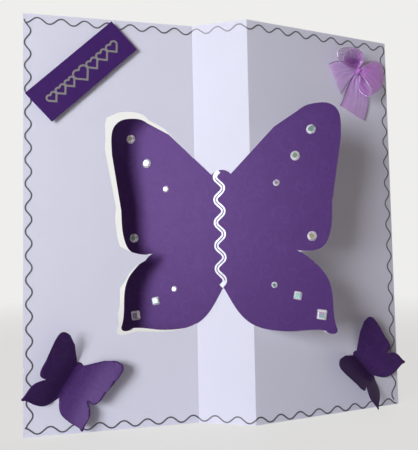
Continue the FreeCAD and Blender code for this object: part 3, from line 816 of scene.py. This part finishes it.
def addRibbonPart(name, setup):
    isLoop = name.endswith("loop")
    grid = layRibbon(setup, isLoop)
    rows, columns = setup["steps"]
    middle = columns // 2
    length = sum((grid[i + 1][middle] - grid[i][middle]).length for i in range(rows))
    verts = []
    uvs = []
    for i, row in enumerate(grid):
        for j, spot in enumerate(row):
            verts.append(spot)
            uvs.append((i / rows * length, (j / columns - 0.5) * ribbon["width"]))
    wide = columns + 1
    faces = [(i * wide + j, i * wide + j + 1, (i + 1) * wide + j + 1, (i + 1) * wide + j)
             for i in range(rows) for j in range(columns)]
    piece = addPiece("bow_" + name, verts, faces, organzaLoop if isLoop else organzaEnd, uvs)
    cord = addSelvedge("bow_" + name + "_selvedges", grid, loopCordLit if isLoop else endCordShaded)
    area = sum(face.area for face in piece.data.polygons)
    print(name, "length", round(length / mm, 1), "mm, cloth", round(area * 1e6), "mm2")
    return [piece, cord]


def addSelvedge(name, grid, material):
    # round cord along each edge of the ribbon
    sides = ribbon["cordSides"]
    verts = []
    uvs = []
    faces = []
    for edge, inner in ((0, 1), (-1, -2)):
        base = len(verts)
        line = [row[edge] for row in grid]
        travelled = 0.0
        for i, row in enumerate(grid):
            step = line[min(i + 1, len(line) - 1)] - line[max(i - 1, 0)]
            travelled += (line[i] - line[max(i - 1, 0)]).length
            step.normalize()
            inwards = row[inner] - row[edge]
            inwards = (inwards - step * inwards.dot(step)).normalized()
            upwards = step.cross(inwards)
            for k in range(sides):
                turn = 2 * math.pi * k / sides
                verts.append(line[i] + (inwards * math.cos(turn) + upwards * math.sin(turn)) * ribbon["cord"])
                uvs.append((travelled, k / sides * 2 * math.pi * ribbon["cord"]))
        for i in range(len(line) - 1):
            for k in range(sides):
                a = base + i * sides + k
                b = base + i * sides + (k + 1) % sides
                faces.append((a, b, b + sides, a + sides))
        faces.append(tuple(base + k for k in reversed(range(sides))))
        faces.append(tuple(base + (len(line) - 1) * sides + k for k in range(sides)))
    return addPiece(name, verts, faces, material, uvs)


knot = {
    "place": (0.3, 0.1, 4.2), "radii": (1.5, 2.0, 2.1), "tilt": math.radians(34), "rings": 22, "sides": 44,
    "ridges": 6, "ridgeTwist": 4.5, "ridgeRise": 0.13, "unrolled": (2.2 * mm, 5 * mm),
}


def addKnot():
    # small twisted wrap: an oval with ridges that run slantwise round it
    _, along, out, up = panelFrame("right")
    centre = bowPoint(knot["place"])
    wide, deep, tall = knot["radii"]
    verts = []
    uvs = []
    rings, sides = knot["rings"], knot["sides"]
    for i in range(rings + 1):
        polar = math.pi * i / rings
        for j in range(sides):
            turn = 2 * math.pi * j / sides
            ridge = math.sin(knot["ridges"] * turn + knot["ridgeTwist"] * math.cos(polar))
            ridge = 1 + knot["ridgeRise"] * ridge * math.sin(polar)
            spot = Vector((wide * math.sin(polar) * math.cos(turn) * ridge,
                           deep * math.sin(polar) * math.sin(turn) * ridge, tall * math.cos(polar))) * mm
            spot.rotate(Matrix.Rotation(knot["tilt"], 3, "Y"))
            verts.append(centre + along * spot.x + out * spot.y + up * spot.z)
            uvs.append((turn * knot["unrolled"][0], (i / rings - 0.5) * knot["unrolled"][1]))
    faces = []
    for i in range(rings):
        for j in range(sides):
            beside = (j + 1) % sides
            faces.append((i * sides + j, i * sides + beside, (i + 1) * sides + beside, (i + 1) * sides + j))
    return addPiece("bow_knot", verts, faces, organzaKnot, uvs)


bowPieces = [addKnot()]
for partName, partSetup in bowParts.items():
    bowPieces += addRibbonPart(partName, partSetup)
for bowPiece in bowPieces:
    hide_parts("organza_bow")
print("bow tied")


# floor, light and background
studio = {
    "floorColour": (0.82, 0.82, 0.82), "background": (0.86, 0.855, 0.84), "mirrored": 0.42, "floorGlow": 0.75,
    "floorRoughness": 0.8, "floorGrain": 900.0, "floorFade": (0.3, 1.2), "floorRadius": 4.0,
    "fill": (0.098, 0.074, 0.062), "keyWatts": 11.0, "keyColour": (0.965, 0.985, 1.06),
    "keyTurn": math.radians(21), "keyRise": math.radians(8), "keyFar": 1.15, "keyWide": 0.45,
    "keyHigh": 0.56, "keyAim": 0.105,
    "backWatts": 6.0, "backPlace": (0.35, 1.3, 0.75), "backSize": 1.0, "backAim": 0.1,
}


def directShare(tree, seen):
    return math2(tree, "MAXIMUM", seen.outputs["Is Camera Ray"], seen.outputs["Is Transmission Ray"])


def seenShare(tree, setup):
    # 1 for what the camera or glass sees, less for what shines back from gloss and metal
    seen = addNode(tree, "ShaderNodeLightPath")
    direct = directShare(tree, seen)
    mirrored = math2(tree, "MULTIPLY", seen.outputs["Is Glossy Ray"], setup["mirrored"])
    return math2(tree, "MAXIMUM", direct, mirrored)


def makeFloor(setup):
    material, tree, shader = newMaterial("paleFloor")
    grain = noiseField(tree, objectVector(tree), setup["floorGrain"])
    join(tree, bumpFrom(tree, grain.outputs[0], 0.1, 0.05 * mm), shader.inputs["Normal"])
    shader.inputs["Base Color"].default_value = (*setup["floorColour"], 1)
    shader.inputs["Roughness"].default_value = setup["floorRoughness"]
    glow = addNode(tree, "ShaderNodeEmission")
    glow.inputs["Color"].default_value = (*setup["background"], 1)
    far = addNode(tree, "ShaderNodeVectorMath", operation="LENGTH")
    join(tree, objectVector(tree), far.inputs[0])
    fade = mapRange(tree, far.outputs["Value"], *setup["floorFade"], toLow=setup["floorGlow"])
    direct = directShare(tree, addNode(tree, "ShaderNodeLightPath"))
    mix = addNode(tree, "ShaderNodeMixShader")
    join(tree, math2(tree, "MULTIPLY", fade, direct), mix.inputs[0])
    join(tree, shader.outputs[0], mix.inputs[1])
    join(tree, glow.outputs[0], mix.inputs[2])
    output = next(n for n in tree.nodes if n.type == "OUTPUT_MATERIAL")
    join(tree, mix.outputs[0], output.inputs["Surface"])
    bpy.ops.mesh.primitive_circle_add(vertices=96, radius=setup["floorRadius"], fill_type="NGON",
                                      location=(0, 0, 0))
    floor = bpy.context.object
    floor.name = "floor"
    floor.data.materials.append(material)


def makeWorld(setup):
    world = bpy.data.worlds.new("studioWorld")
    bpy.context.scene.world = world
    world.use_nodes = True
    tree = world.node_tree
    tree.nodes.clear()
    output = addNode(tree, "ShaderNodeOutputWorld")
    back = addNode(tree, "ShaderNodeBackground")
    colour = blendColour(tree, seenShare(tree, setup), setup["fill"], setup["background"])
    join(tree, colour, back.inputs["Color"])
    join(tree, back.outputs[0], output.inputs["Surface"])


def placeLamp(name, data, place, towards):
    lamp = bpy.data.objects.new(name, data)
    bpy.context.scene.collection.objects.link(lamp)
    lamp.location = place
    lamp.rotation_euler = towards.to_track_quat("Z", "Y").to_euler()
    lamp.visible_camera = False
    return lamp


def makeKey(setup):
    # one soft window-like lamp, in front and to the left
    data = bpy.data.lights.new("keyLight", "AREA")
    data.shape = "RECTANGLE"
    data.size = setup["keyWide"]
    data.size_y = setup["keyHigh"]
    data.energy = setup["keyWatts"]
    data.color = setup["keyColour"]
    aim = Vector((stripX, frontY, setup["keyAim"]))
    towards = Vector((-math.sin(setup["keyTurn"]) * math.cos(setup["keyRise"]),
                      -math.cos(setup["keyTurn"]) * math.cos(setup["keyRise"]), math.sin(setup["keyRise"])))
    placeLamp("keyLight", data, aim + towards * setup["keyFar"], towards)


def makeBackLamp(setup):
    # wide soft lamp that opens up the back of the card
    data = bpy.data.lights.new("backLamp", "AREA")
    data.shape = "DISK"
    data.size = setup["backSize"]
    data.energy = setup["backWatts"]
    towards = Vector(setup["backPlace"]) - Vector((stripX, frontY, setup["backAim"]))
    lamp = placeLamp("backLamp", data, setup["backPlace"], towards)
    lamp.visible_glossy = False


makeFloor(studio)
makeWorld(studio)
makeKey(studio)
makeBackLamp(studio)
bpy.context.scene.view_settings.view_transform = "Standard"
print("studio set")
